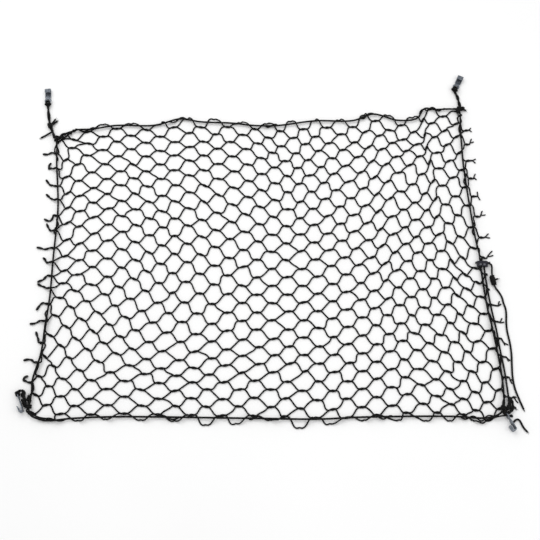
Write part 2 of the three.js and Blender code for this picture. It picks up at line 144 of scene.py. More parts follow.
def smooth(route, step, closed=False):
    """A smooth curve through a route's points, with a point about every step."""
    points = [np.array(p, float) for p in route]
    if closed:
        padded = [points[-1], *points, points[0], points[1]]
    else:
        padded = [2 * points[0] - points[1], *points, 2 * points[-1] - points[-2]]
    curve = []
    for i in range(len(padded) - 3):
        before, start, end, after = padded[i:i + 4]
        knots = [0.0]
        for a, b in ((before, start), (start, end), (end, after)):
            knots.append(knots[-1] + max(np.linalg.norm(b - a), 1e-3) ** 0.5)
        steps = max(2, round(np.linalg.norm(end - start) / step))
        for k in range(steps):
            t = knots[1] + (knots[2] - knots[1]) * k / steps
            a1 = blend(before, start, knots[0], knots[1], t)
            a2 = blend(start, end, knots[1], knots[2], t)
            a3 = blend(end, after, knots[2], knots[3], t)
            b1 = blend(a1, a2, knots[0], knots[2], t)
            b2 = blend(a2, a3, knots[1], knots[3], t)
            curve.append(blend(b1, b2, knots[1], knots[2], t))
    if not closed:
        curve.append(points[-1])
    return np.array(curve)


def blend(p, q, start, end, t):
    return ((end - t) * p + (t - start) * q) / (end - start)


def at_height(points, z):
    return [(x, y, z) for x, y in points]


def frames_along(points, closed=False):
    """Two directions across a path at each of its points, turned as little as possible."""
    if closed:
        tangents = np.roll(points, -1, axis=0) - np.roll(points, 1, axis=0)
    else:
        tangents = np.gradient(points, axis=0)
    tangents /= np.maximum(np.linalg.norm(tangents, axis=1), 1e-9)[:, None]
    side = np.cross((0.0, 0.0, 1.0), tangents[0])
    if np.linalg.norm(side) < 0.1:
        side = np.cross((1.0, 0.0, 0.0), tangents[0])
    sides = np.empty_like(points)
    for i, tangent in enumerate(tangents):
        side = side - tangent * np.dot(side, tangent)
        side /= max(np.linalg.norm(side), 1e-9)
        sides[i] = side
    ups = np.cross(tangents, sides)
    if closed:
        untwist(sides, ups, tangents)
    return sides, ups


def untwist(sides, ups, tangents):
    """Spreads a closed path's leftover turn evenly along it, so that its ends meet."""
    last, first = sides[-1], sides[0] - tangents[-1] * np.dot(sides[0], tangents[-1])
    turn = math.atan2(np.dot(first, ups[-1]), np.dot(first, last))
    angles = np.linspace(0, turn, len(sides))[:, None]
    turned = sides * np.cos(angles) + ups * np.sin(angles)
    ups[:] = ups * np.cos(angles) - sides * np.sin(angles)
    sides[:] = turned


class Tubes:
    """Gathers tubes into one mesh, with UVs in metres along and in turns round."""

    def __init__(self):
        self.points, self.faces, self.uvs = [], [], []
        self.count = 0

    def add(self, path, radius, sides=10, closed=False):
        """radius is one number, or one for each point of the path."""
        path = np.asarray(path, float)
        rings = len(path)
        radii = np.broadcast_to(np.asarray(radius, float), (rings,))[:, None, None]
        across, up = frames_along(path, closed)
        angles = np.linspace(0, 2 * math.pi, sides, endpoint=False)
        ring = (np.cos(angles)[None, :, None] * across[:, None, :]
                + np.sin(angles)[None, :, None] * up[:, None, :])
        self.points.append((path[:, None, :] + radii * ring).reshape(-1, 3))
        steps = np.linalg.norm(np.diff(path, axis=0, append=path[:1]), axis=1)
        along = np.concatenate([[0.0], np.cumsum(steps)]) * MM
        for i in range(rings if closed else rings - 1):
            j = (i + 1) % rings
            for k in range(sides):
                m = (k + 1) % sides
                corners = (i * sides + k, i * sides + m, j * sides + m, j * sides + k)
                self.faces.append([self.count + corner for corner in corners])
                low, high = k / sides, (k + 1) / sides
                self.uvs += [(along[i], low), (along[i], high), (along[i + 1], high), (along[i + 1], low)]
        if not closed:
            for i, order in ((0, -1), (rings - 1, 1)):
                self.cap(i, sides, order, along[i])
        self.count += rings * sides

    def cap(self, ring, sides, order, along):
        corners = [self.count + ring * sides + k for k in range(sides)][::order]
        self.faces.append(corners)
        self.uvs += [(along, 0.5)] * sides

    def build(self, name, material, slot):
        mesh = bpy.data.meshes.new(name)
        mesh.from_pydata((np.concatenate(self.points) * MM).tolist(), [], self.faces)
        layer = mesh.uv_layers.new(name="along")
        layer.data.foreach_set("uv", np.array(self.uvs, float).ravel())
        return add_piece(name, mesh, material)


def end_radii(path, radius, ends):
    """The same radius all along a path, apart from its last few points."""
    radii = np.full(len(path), float(radius))
    radii[-len(ends):] = ends
    return radii


def add_piece(name, mesh, material):
    mesh.polygons.foreach_set("use_smooth", [True] * len(mesh.polygons))
    mesh.materials.append(material)
    piece = add_object(name, mesh)
    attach(piece, "root")
    return piece


def plate(outlines, depth, bevel):
    """A solid with rounded edges, from flat outlines: its edge, then its holes, turned the other way."""
    curve = bpy.data.curves.new("plate", "CURVE")
    curve.dimensions, curve.fill_mode = "2D", "BOTH"
    curve.extrude, curve.bevel_depth = depth / 2 - bevel, bevel
    curve.offset, curve.bevel_resolution = -bevel, 2
    for outline in outlines:
        spline = curve.splines.new("POLY")
        spline.points.add(len(outline) - 1)
        spline.points.foreach_set("co", [value for x, y in outline for value in (x, y, 0, 1)])
        spline.use_cyclic_u = True
    carrier = bpy.data.objects.new("plate", curve)
    mesh = bpy.data.meshes.new_from_object(carrier)
    solid = bmesh.new()
    solid.from_mesh(mesh)
    bmesh.ops.remove_doubles(solid, verts=solid.verts, dist=0.01)
    for data in (carrier, curve, mesh):
        bpy.data.batch_remove([data])
    return solid


def finish_solid(name, solid, pose, material):
    """Makes a piece of a solid, in its place, with its sharper edges kept sharp."""
    bmesh.ops.transform(solid, matrix=Matrix.Scale(MM, 4) @ pose, verts=solid.verts)
    mesh = bpy.data.meshes.new(name)
    solid.to_mesh(mesh)
    piece = add_piece(name, mesh, material)
    mesh.set_sharp_from_angle(angle=math.radians(40))
    return piece


def arc(x, y, radius, start, end, steps):
    """Points along an arc, from start to end in degrees."""
    angles = np.radians(np.linspace(start, end, steps))
    return [(x + radius * math.cos(a), y + radius * math.sin(a)) for a in angles]


# ---- materials

class Nodes:
    """Short calls for a material's nodes."""

    def __init__(self, name):
        self.material = bpy.data.materials.new(name)
        self.material.use_nodes = True
        self.tree = self.material.node_tree
        self.shader = self.tree.nodes["Principled BSDF"]

    def add(self, kind, settings=None, **sockets):
        node = self.tree.nodes.new(kind)
        for key, value in (settings or {}).items():
            setattr(node, key, value)
        for key, value in sockets.items():
            self.set(node, key.replace("_", " "), value)
        return node

    def set(self, node, socket, value):
        target = node.inputs[int(socket[1:])] if socket[0] == "#" else node.inputs[socket]
        if isinstance(value, bpy.types.NodeSocket):
            self.tree.links.new(value, target)
        else:
            target.default_value = value

    def math(self, operation, a, b=0.0):
        node = self.add("ShaderNodeMath", {"operation": operation})
        self.set(node, "#0", a)
        self.set(node, "#1", b)
        return node.outputs[0]

    def mix(self, first, second, share):
        """That share of the first value, and the rest of the second."""
        rest = self.math("MULTIPLY", second, 1 - share)
        return self.math("ADD", self.math("MULTIPLY", first, share), rest)

    def noise(self, scale, detail):
        place = self.add("ShaderNodeTexCoord").outputs["Object"]
        return self.add("ShaderNodeTexNoise", Scale=scale, Detail=detail, Vector=place).outputs["Fac"]

    def ramp(self, value, stops):
        node = self.add("ShaderNodeValToRGB", Fac=value)
        points = node.color_ramp.elements
        while len(points) < len(stops):
            points.new(0.5)
        for point, (place, colour) in zip(points, stops):
            point.position = place
            point.color = (*colour, 1.0)
        return node.outputs["Color"]

    def shade(self, **sockets):
        for key, value in sockets.items():
            self.set(self.shader, key.replace("_", " "), value)

    def colour(self, value, stops):
        self.shade(Base_Color=self.ramp(value, stops))

    def roughness(self, value, low, high):
        node = self.add("ShaderNodeMapRange", Value=value, To_Min=low, To_Max=high)
        self.shade(Roughness=node.outputs["Result"])

    def bump(self, height, strength, distance):
        node = self.add("ShaderNodeBump", Height=height, Strength=strength, Distance=distance)
        self.shade(Normal=node.outputs["Normal"])


def grey(level):
    return (level, level, level)


def yarn_material(name, dark, light, pitch, starts, both_ways, bump):
    """Spun or braided yarn. Its turns run round the cord, pitch metres apart, from so many starts."""
    nodes = Nodes(name)
    place = nodes.add("ShaderNodeUVMap", {"uv_map": "along"})
    split = nodes.add("ShaderNodeSeparateXYZ", Vector=place.outputs["UV"])
    along = nodes.math("MULTIPLY", split.outputs["X"], 2 * math.pi / pitch)
    around = nodes.math("MULTIPLY", split.outputs["Y"], 2 * math.pi * starts)
    turns = nodes.math("SINE", nodes.math("ADD", along, around))
    if both_ways:
        other = nodes.math("SINE", nodes.math("SUBTRACT", along, around))
        turns = nodes.math("MAXIMUM", turns, other)
    fibres = nodes.noise(900, 3.0)
    surface = nodes.mix(turns, fibres, 0.5)
    patches = nodes.noise(14, 5.0)
    nodes.colour(nodes.mix(surface, patches, 0.5), [(0.2, dark), (0.75, light)])
    nodes.roughness(patches, 0.5, 0.78)
    nodes.shade(Specular_IOR_Level=0.13)
    nodes.bump(surface, bump, 0.0005)
    return nodes.material


def steel_material():
    """Zinc-plated steel, with darker and lighter patches and fine scratches."""
    nodes = Nodes("zinc_steel")
    patches = nodes.noise(160, 6.0)
    scratches = nodes.noise(1400, 2.0)
    mixed = nodes.mix(patches, scratches, 0.7)
    dark, middle, light = (0.09, 0.10, 0.12), (0.17, 0.19, 0.22), (0.30, 0.32, 0.35)
    nodes.colour(mixed, [(0.3, dark), (0.5, middle), (0.68, light)])
    nodes.roughness(mixed, 0.28, 0.55)
    nodes.shade(Metallic=0.9)
    nodes.bump(scratches, 0.15, 0.0004)
    return nodes.material


def plastic_material(name, dark, light):
    """Moulded plastic, glossy, with a faint orange-peel surface and duller rubbed patches. In its pale
    tones it makes the lock's painted highlights.
    """
    nodes = Nodes(name)
    patches = nodes.noise(220, 3.0)
    nodes.colour(patches, [(0.35, dark), (0.7, light)])
    nodes.roughness(patches, 0.2, 0.38)
    nodes.shade(Coat_Weight=0.1, Specular_IOR_Level=0.35)
    nodes.bump(nodes.noise(1800, 2.0), 0.05, 0.0002)
    return nodes.material


def floor_material():
    """A plain pale floor, with a trace of unevenness."""
    nodes = Nodes("pale_floor")
    nodes.colour(nodes.noise(1.5, 3.0), [(0.3, grey(0.93)), (0.7, grey(0.95))])
    nodes.shade(Roughness=0.9, Specular_IOR_Level=0.1)
    return nodes.material


NET_YARN = yarn_material("net_yarn", grey(0.001), grey(0.010), 0.005, 3, False, 0.7)
CORD_YARN = yarn_material("cord_braid", grey(0.001), grey(0.012), 0.0044, 4, True, 0.9)
FRAYED_YARN = yarn_material("frayed_yarn", grey(0.004), grey(0.02), 0.003, 3, False, 0.8)
STEEL = steel_material()
PLASTIC = plastic_material("lock_plastic", (0.004, 0.004, 0.009), (0.009, 0.009, 0.020))
# Pale plastic for the two domes on the lock's top, which are painted highlights.
PAINTED_HIGHLIGHT_PLASTIC = plastic_material("lock_painted_highlight", (0.13, 0.135, 0.16), (0.21, 0.215, 0.24))


# ---- the two free cords

# Their routes in metres, and the height of a cord that lies on the ground.
ON_GROUND_M = 0.0029
LOOSE_END_M = [
    (0.5815, 0.013, 0.0084), (0.586, 0.012, 0.0084), (0.59, 0.0085, 0.0084), (0.591, 0.002, 0.0083),
    (0.59, -0.008, 0.0082), (0.5896, -0.018, 0.0082), (0.5901, -0.031, 0.0082),
    (0.5906, -0.044, 0.0082), (0.596, -0.058, 0.006), (0.604, -0.069, 0.0034),
    *at_height([
        (0.611, -0.084), (0.614, -0.101), (0.618, -0.119), (0.618, -0.136), (0.616, -0.156),
        (0.616, -0.182), (0.62, -0.214), (0.621, -0.247), (0.619, -0.279), (0.618, -0.31),
        (0.621, -0.34), (0.629, -0.368), (0.638, -0.395),
    ], ON_GROUND_M),
]
CORNER_END_M = at_height([
    (0.6051, -0.4309), (0.609, -0.4275), (0.6135, -0.423), (0.6195, -0.4205), (0.624, -0.423),
    (0.627, -0.429), (0.63, -0.4365), (0.6345, -0.445), (0.641, -0.453),
], ON_GROUND_M)

# A cut cord swells at its end, then narrows: the radii of its last points.
CUT_CORD_ENDS = (2.5, 2.7, 2.1)

# The yarns of a cut end: number, lean, reaches, radii at root and tip, and how low they can lie.
FRAY_YARNS = 9
FRAY_LEAN = (0.4, 0.4, 0.25)
FRAY_REACHES = ((1.2, 2.4), (1.2, 3.0))
FRAY_RADII = (0.42, 0.22)
FRAY_FLOOR = 0.45


def fray(tubes, path):
    """The yarns that spread from a cord's cut end."""
    tip, way = path[-1], path[-1] - path[-3]
    way = way / np.linalg.norm(way)
    for _ in range(FRAY_YARNS):
        lean = np.array([rng.gauss(0, spread) for spread in FRAY_LEAN])
        start = tip - 1.5 * way + 2.4 * lean
        middle = tip + rng.uniform(*FRAY_REACHES[0]) * (way + lean)
        end = middle + rng.uniform(*FRAY_REACHES[1]) * (way + 2 * lean)
        yarn = smooth([start, middle, end], step=1.2)
        yarn[:, 2] = np.maximum(yarn[:, 2], FRAY_FLOOR)
        tubes.add(yarn, np.linspace(*FRAY_RADII, len(yarn)), sides=5)


def frayed_piece(name, paths):
    tubes = Tubes()
    for path in paths:
        fray(tubes, path)
    return tubes.build(name, FRAYED_YARN, "cord")


def free_cord(name, route_m, node, with_pieces=(), both_cut=False):
    path = smooth(np.array(route_m) / MM, step=2.5)
    tube = Tubes()
    tube.add(path, end_radii(path, CORD_RADIUS, CUT_CORD_ENDS), sides=12)
    cord = tube.build(name, CORD_YARN, "cord")
    cut_ends = [path, path[::-1]] if both_cut else [path]
    with_pieces = [*with_pieces, frayed_piece(name + "_fray", cut_ends)]
    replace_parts(cord, node)


# ---- how the panel lies

# The draw cord's line: the far and near sides from left to right, the other two from near to far.
FAR_SIDE = [
    (-626, 415), (-602, 412), (-588, 428), (-572, 437), (-525, 440), (-460, 452), (-345, 453),
    (-270, 475), (-215, 465), (-120, 460), (-55, 452), (10, 452), (120, 468), (230, 469),
    (290, 491), (360, 470), (415, 476), (441, 510), (470, 507), (505, 506), (542, 501),
]
NEAR_SIDE = [
    (-627, -412), (-580, -425), (-510, -419), (-405, -415), (-60, -419), (115, -421), (220, -416),
    (450, -414), (525, -421), (593, -404),
]
LEFT_SIDE = [
    (-627, -412), (-625, -355), (-625, -318), (-610, -245), (-606, -165), (-601, -85), (-602, 20),
    (-602, 180), (-610, 260), (-618, 325), (-626, 415),
]
RIGHT_SIDE = [
    (593, -404), (590, -342), (588, -288), (577, -177), (569, -120), (562, -10), (560, 40),
    (554, 88), (546, 190), (539, 315), (539, 375), (542, 501),
]

# Where the mesh is dragged: x, y, the drag along x and along y, and its reach.
DRAGS = [
    (180, 20, 40, -15, 380), (-570, 60, 0, 25, 170), (-480, -330, -35, 0, 150),
    (-260, -190, -5, -35, 170), (450, 330, 0, 5, 130), (530, -80, -5, -20, 170),
    (-420, 300, 0, 15, 200), (130, -330, 10, -10, 220), (-90, 330, 30, 10, 170),
    (-60, -20, -10, -5, 150), (330, 300, 15, 15, 130), (-605, 350, -5, 28, 95),
    (-600, -150, 0, 32, 115), (-595, 30, 0, -14, 85), (-560, 430, -13, -3, 90),
    (-400, 70, 11, 4, 110), (-330, -220, -8, 0, 110), (-455, -335, 0, -12, 70),
    (-270, 430, 13, -8, 90), (390, -390, 15, 3, 110), (400, 50, -5, 14, 85),
    (450, -90, -2, 10, 80), (525, 60, -3, -20, 60), (600, 30, -9, -15, 100),
    (440, -290, 10, -8, 90), (575, -350, -4, -26, 110), (600, 380, -8, 20, 75),
    (370, 330, -6, 11, 60), (-440, -70, 9, 0, 80), (-620, 230, -9, 0, 110),
    (530, 140, 0, -14, 60), (-610, -420, -14, 0, 70), (-589, 361, -16, 11, 22),
    (-555, 351, -12, 1, 24), (-559, 400, 0, -12, 26), (-515, 328, -13, 6, 28),
]

# Where its joints are turned: x, y, degrees anticlockwise, and the reach.
TILTS = [
    (330, 280, 20, 170), (520, 400, 26, 110), (330, 60, 14, 150), (525, 15, -34, 90),
    (510, -120, -17, 100), (-545, -210, -24, 120), (-580, 120, 11, 110), (-330, 230, -13, 120),
    (-370, 10, -14, 80), (0, -260, 8, 160), (-560, -400, 16, 70), (-150, 200, -8, 150),
    (420, -230, -8, 90), (-330, -100, 6, 90),
]

# The near edge's joints, from left to right, and the two left corners' joints.
NEAR_LOOPS = [
    (-560, -424), (-500, -425), (-430, -422), (-340, -424), (-253, -426), (-174, -437), (-97, -433),
    (-11, -424), (64, -444), (142, -434), (231, -424), (318, -424), (385, -425), (448, -426),
    (505, -425), (555, -419),
]
NEAR_LEFT_CORNER, FAR_LEFT_CORNER = (-614, -409), (-611, 411)

# How far the other edge joints stand outside the draw cord. FAR_RISE runs from left to right.
FAR_RISE = (3, 14, 10, 3, 6, 15, 9, 11, 12, 5, 5, 12, 12, 8, 2, 2)
LEFT_OUT = 4
OUT_BELOW_LOCK, OUT_ABOVE_LOCK, OUT_AT_CORNER = 12, 17, 1
LOCK_TOP = 40

# How high a strand climbs to pass over the draw cord, and over what distance.
CLIMB_HEIGHT = 10
CLIMB_REACH = 9


def along_side(side, share):
    points = np.array(side, float)
    lengths = np.linalg.norm(np.diff(points, axis=0), axis=1)
    places = np.concatenate([[0.0], np.cumsum(lengths)]) / lengths.sum()
    return np.array([np.interp(share, places, points[:, axis]) for axis in (0, 1)])


def between(start, end, share):
    return (1 - share) * np.array(start) + share * np.array(end)


def nearness(place, x, y, reach):
    """1 at (x, y), fading to nothing some way past the reach."""
    return math.exp(-((place[0] - x) ** 2 + (place[1] - y) ** 2) / reach ** 2)


def lay_point(across, up):
    """A place on the panel: across and up run from 0 to 1 between the draw cord's runs."""
    s, t = min(max(across, 0.0), 1.0), min(max(up, 0.0), 1.0)
    corners = between(between(NEAR_SIDE[0], NEAR_SIDE[-1], s), between(FAR_SIDE[0], FAR_SIDE[-1], s), t)
    place = (between(along_side(NEAR_SIDE, s), along_side(FAR_SIDE, s), t)
             + between(along_side(LEFT_SIDE, t), along_side(RIGHT_SIDE, t), s) - corners)
    dragged = place + np.array([(across - s) * PANEL_LENGTH, (up - t) * PANEL_DEPTH])
    for x, y, drag_x, drag_y, reach in DRAGS:
        dragged += nearness(place, x, y, reach) * np.array([drag_x, drag_y])
    return dragged


def tilt_at(place):
    turns = [degrees * nearness(place, x, y, reach) for x, y, degrees, reach in TILTS]
    return math.radians(sum(turns))


# ---- the net

def mesh_point(column, row):
    up = (row + HALF_ROWS - ROW_OVERHANG) / (2 * (HALF_ROWS - ROW_OVERHANG))
    return lay_point((column + LEFT_INSET) / PANEL_COLUMNS, up)


def place_of(column, row):
    """Where a joint's middle is. The outermost ones keep close to the draw cord."""
    x, y = mesh_point(column, row)
    if abs(row) == HALF_ROWS and column == -1:
        x, y = NEAR_LEFT_CORNER if row < 0 else FAR_LEFT_CORNER
    elif row == -HALF_ROWS:
        x, y = NEAR_LOOPS[(column - 1) // 2]
    elif row == HALF_ROWS:
        y = height_at(FAR_SIDE, x) + FAR_RISE[(column - 1) // 2]
    elif column == -1:
        x = across_at(LEFT_SIDE, y) - LEFT_OUT
    elif column == COLUMNS and row > HALF_ROWS - 2:
        x = across_at(RIGHT_SIDE, y) + OUT_AT_CORNER
    elif column == COLUMNS:
        x = across_at(RIGHT_SIDE, y) + (OUT_ABOVE_LOCK if y > LOCK_TOP else OUT_BELOW_LOCK)
    return np.array([x, y], float)


def height_at(side, x):
    xs, ys = zip(*side)
    return np.interp(x, xs, ys)


def across_at(side, y):
    xs, ys = zip(*side)
    return np.interp(y, ys, xs)


def edge_distance(points):
    """How far each point lies from the draw cord's middle line, in plan."""
    runs = np.roll(DRAW_LINE, -1, axis=0) - DRAW_LINE
    offsets = points[:, None, :2] - DRAW_LINE
    shares = np.clip((offsets * runs).sum(axis=2) / (runs ** 2).sum(axis=1), 0, 1)
    return np.linalg.norm(offsets - shares[..., None] * runs, axis=2).min(axis=1)


class Joint:
    """Where two strands lie side by side: its ends, its direction, and, at a side of the net, whether
    it lies over the draw cord."""

    def __init__(self, column, row):
        place = place_of(column, row)
        before, after = mesh_point(column - 0.4, row), mesh_point(column + 0.4, row)
        inside = 0 <= column < COLUMNS and abs(row) < HALF_ROWS
        loose = 1.0 if inside else EDGE_SHARE
        angle = math.atan2(*(after - before)[::-1])
        angle += loose * (tilt_at(place) + math.radians(rng.gauss(0, JOINT_TURN)))
        middle = place + loose * np.array([rng.gauss(0, JOINT_SHIFT), rng.gauss(0, JOINT_SHIFT)])
        half = (JOINT_LENGTH if inside else SIDE_JOINT) / 2 * rng.uniform(*JOINT_STRETCH)
        self.along = np.array([math.cos(angle), math.sin(angle)])
        self.side = np.array([-self.along[1], self.along[0]])
        self.left = middle - half * self.along
        self.right = middle + half * self.along
        self.over = (row // 2) % 2 == 0

    def run(self, upper):
        """One strand's way through the joint, from left to right."""
        sign = 1 if upper else -1
        points = []
        for k in range(JOINT_STEPS + 1):
            share = k / JOINT_STEPS
            place = self.left + share * (self.right - self.left)
            spread = JOINT_SPREAD * math.sin(math.pi * (0.15 + 0.7 * share))
            height = STRAND_RADIUS + JOINT_LIFT + JOINT_WAVE * sign * math.sin(2 * math.pi * share)
            points.append((*(place + sign * spread * self.side), height))
        return points


def leg(joint, following):
    """A strand's bends from one joint to the next, with the slack that it has."""
    start, end = joint.right, following.left
    chord = float(np.linalg.norm(end - start))
    normal = np.array([-(end - start)[1], (end - start)[0]]) / max(chord, 1e-6)
    slack = max(0.0, LEG_LENGTH - 1.04 * chord)
    widest = min(WIDEST_BOW, TAUT_BOW + SLACK_BOW * math.sqrt(slack * chord))
    bow = rng.choice((-1, 1)) * widest * rng.random() ** 1.6
    if rng.random() > SHARP_KINK_SHARE:
        kink = rng.gauss(0, KINK)
    else:
        kink = rng.choice((-1, 1)) * rng.uniform(*SHARP_KINK)
    points = []
    for k in range(1, LEG_STEPS):
        u = k / LEG_STEPS
        h00, h10 = 2 * u ** 3 - 3 * u ** 2 + 1, u ** 3 - 2 * u ** 2 + u
        h01, h11 = 3 * u ** 2 - 2 * u ** 3, u ** 3 - u ** 2
        place = h00 * start + h10 * chord * joint.along + h01 * end + h11 * chord * following.along
        place = place + normal * (bow * math.sin(math.pi * u) + kink * math.sin(2 * math.pi * u))
        points.append((*place, STRAND_HEIGHT))
    return points


def build_joints():
    return {(column, row): Joint(column, row) for column in range(-1, COLUMNS + 1)
            for row in range(-HALF_ROWS, HALF_ROWS + 1) if (column + row) % 2}


def strand_path(joints, low):
    """A strand between half rows low and low + 1, from left to right. At the near and far edges it goes
    out under the draw cord and comes back over it. At the sides it passes it as its joint does."""
    points, over = [], []
    for column in range(-1, COLUMNS + 1):
        row = low if (column + low) % 2 else low + 1
        joint = joints[column, row]
        points += joint.run(upper=row == low)
        over += [column in (-1, COLUMNS) and joint.over] * (JOINT_STEPS + 1)
        if column < COLUMNS:
            next_row = 2 * low + 1 - row
            following = joints[column + 1, next_row]
            points += leg(joint, following)
            at_side = column in (-1, COLUMNS - 1) and (joint if column == -1 else following).over
            leg_over = abs(row) == HALF_ROWS or (at_side and abs(next_row) != HALF_ROWS)
            over += [leg_over] * (LEG_STEPS - 1)
    path = np.array(points)
    path[:, 2] += np.where(over, climb(path), 0.0)
    return path


def climb(points):
    """How much higher a strand lies at each of these points, where it passes over the draw cord."""
    return CLIMB_HEIGHT * np.exp(-(edge_distance(points) / CLIMB_REACH) ** 2)


def strand_radii(count):
    """A strand is a little thicker here and there."""
    return STRAND_RADIUS * (1 + 0.05 * np.sin(1.7 * np.arange(count)))


def draw_line():
    """The draw cord's middle line in plan, all round, anticlockwise."""
    ring = NEAR_SIDE[:-1] + RIGHT_SIDE[:-1] + FAR_SIDE[:0:-1] + LEFT_SIDE[-2:0:-1]
    return smooth(at_height(ring, 0), step=6, closed=True)[:, :2]


DRAW_LINE = draw_line()


def build_net():
    joints = build_joints()
    tubes = Tubes()
    for low in range(-HALF_ROWS, HALF_ROWS):
        path = strand_path(joints, low)
        tubes.add(path, strand_radii(len(path)), sides=STRAND_SIDES)
    net = tubes.build("net_mesh", NET_YARN, "net")
    tails = [left_tails(joints), right_tails(joints)]
    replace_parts(net, "net")


# ---- the cut tails

# The left tails by half row: their bends from the joint, x and y.
LEFT_TAILS = {
    14: [(-8, 1), (-20, -4), (-33, -4)],
    12: [(-10, 4), (-16, 2), (-15, 14), (-10, 20)],
    10: [(-6, 1), (-14, 3), (-20, 10), (-27, 19)],
    8: [(-8, 3), (-16, 8), (-22, 14), (-27, 19)],
    6: [(-5, -8), (-12, -17), (-20, -16), (-28, -12)],
    4: [(-7, 1), (-12, 5), (-17, 14), (-21, 23)],
    2: [(-10, -2), (-20, -4), (-30, -1), (-42, 1)],
    0: [(-6, 0), (-12, 3), (-15, 10), (-21, 15)],
    -2: [(-8, -3), (-16, -12), (-24, -16), (-30, -20)],
    -4: [(-10, 5), (-20, 9), (-29, 14)],
    -6: [(-8, 2), (-16, -3), (-22, -14), (-25, -19)],
    -8: [(-9, 2), (-18, -3), (-26, -6), (-35, -7)],
    -10: [(-5, 8), (-9, 18), (-13, 30)],
    -12: [(-8, 6), (-14, 9), (-24, 9), (-32, 7)],
    -14: [(-9, 3), (-17, 7), (-14, 13), (-5, 17)],
    -16: [(-8, 4), (-14, 10), (-16, 18)],
}

# The right tails: the stem from the joint, then the tips of its two strands.
RIGHT_TAILS = {
    15: [(6, 1), (11, 7), (12, -4)],
    13: [(7, 6), (12, 18), (17, 10)],
    11: [(9, 0), (18, 4), (16, -7)],
    9: [(6, 4), (11, 14), (13, -3)],
    7: [(8, 1), (8, 14), (14, -11)],
    5: [(7, 5), (12, 17), (20, 7)],
    3: [(9, 2), (18, 11), (21, 0)],
    1: [(8, 5), (22, 21), (24, 10)],
    -5: [(15, -2), (20, 10), (24, 4)],
    -7: [(11, -2), (17, 9), (21, 0)],
    -9: [(8, -8), (12, -20), (21, -17)],
    -11: [(8, -1), (12, -13), (17, -9)],
    -13: [(6, -7), (12, -9), (10, -16)],
    -15: [(9, 3), (16, 0), (19, -12)],
}

# Each side's tails: height, radius and end radii. Then how the left tails' strands are wound.
LEFT_TAIL = (3.5, 2.05, (2.2, 2.5, 2.7, 2.1))
RIGHT_TAIL = (1.9, 1.75, (1.9, 1.5))
TAIL_TURNS = 1.3
TAIL_SPREAD = 1.3


def tail_path(joint_end, way, bends, height, raised):
    """A tail from its joint's end, which lies over the draw cord where it is raised."""
    rise = float(climb(np.array([joint_end]))[0]) if raised else 0.0
    start = (*(joint_end - 2 * way), height + rise)
    first = (*(joint_end + 4 * way), height + 0.7 * rise)
    rest = [(joint_end[0] + x, joint_end[1] + y, height) for x, y in bends]
    path = smooth([start, first, *rest], step=2.5)
    path[:, 2] = np.maximum(path[:, 2], height)
    return path


def left_tails(joints):
    """Tails of two strands that wind past each other."""
    tubes = Tubes()
    height, radius, ends = LEFT_TAIL
    for row, bends in LEFT_TAILS.items():
        joint = joints[-1, row]
        path = tail_path(joint.left, -joint.along, bends, height, joint.over)
        across, up = frames_along(path)
        angles = np.linspace(0, 2 * math.pi * TAIL_TURNS, len(path))[:, None]
        for side in (-1, 1):
            offset = side * np.cos(angles) * across + 0.55 * np.sin(angles) * up
            tubes.add(path + TAIL_SPREAD * offset, end_radii(path, radius, ends))
    return tubes.build("net_tails_left", FRAYED_YARN, "net")


def right_tails(joints):
    """Tails that are split into their two cut strands."""
    tubes = Tubes()
    height, radius, ends = RIGHT_TAIL
    for row, (stem, *tips) in RIGHT_TAILS.items():
        joint = joints[COLUMNS, row]
        for side, tip in zip((1, -1), tips):
            knee = (0.45 * stem[0] + 0.55 * tip[0], 0.45 * stem[1] + 0.55 * tip[1] + side * 0.8)
            start = joint.right + 0.9 * side * joint.side
            path = tail_path(start, joint.along, [stem, knee, tip], height, joint.over)
            tubes.add(path, end_radii(path, radius, ends))
    return tubes.build("net_tails_right", FRAYED_YARN, "net")


# ---- the draw cord and the lock's cord

def draw_route():
    """All round, anticlockwise from the near right corner, through the lock and the tethers' rings."""
    below_lock = [p for p in RIGHT_SIDE[1:] if p[1] < -50]
    above_lock = [p for p in RIGHT_SIDE if 60 < p[1] < 460]
    return [
        *at_height(below_lock, ON_NET),
        (562, -20, 7), (561, 2, IN_LOCK), (561, 20, IN_LOCK), (560, 46, 7),
        *at_height(above_lock, ON_NET),
        (540, 448, ON_NET), (542, 475, 9), (541, 493, IN_RING), (533, 503, IN_RING), (519, 508, 8),
        *at_height(FAR_SIDE[1:-2][::-1], ON_NET),
        (-613, 411, 9), (-623, 411, IN_RING), (-624, 402, IN_RING), (-622, 378, 8),
        *at_height(LEFT_SIDE[2:-1][::-1], ON_NET),
        (-624, -352, 7), (-626, -380, IN_RING), (-626, -398, IN_RING), (-618, -413, IN_RING),
        (-600, -421, 8),
        *at_height(NEAR_SIDE[1:-2], ON_NET),
        (540, -418, ON_NET), (566, -412, 9), (581, -401, IN_RING), (587, -384, IN_RING), (589, -360, 8),
    ]


# The lock's cord, from the near right corner up to the lock.
LOCK_CORD = [
    (600, -384.4, 9.5), (601, -366, 7),
    *at_height([(600, -342), (597, -288), (591, -232), (586.5, -177), (579, -120), (573.5, -60),
                (571, -20)], ON_NET), (570, 2, IN_LOCK), (570, 10, IN_LOCK),
]

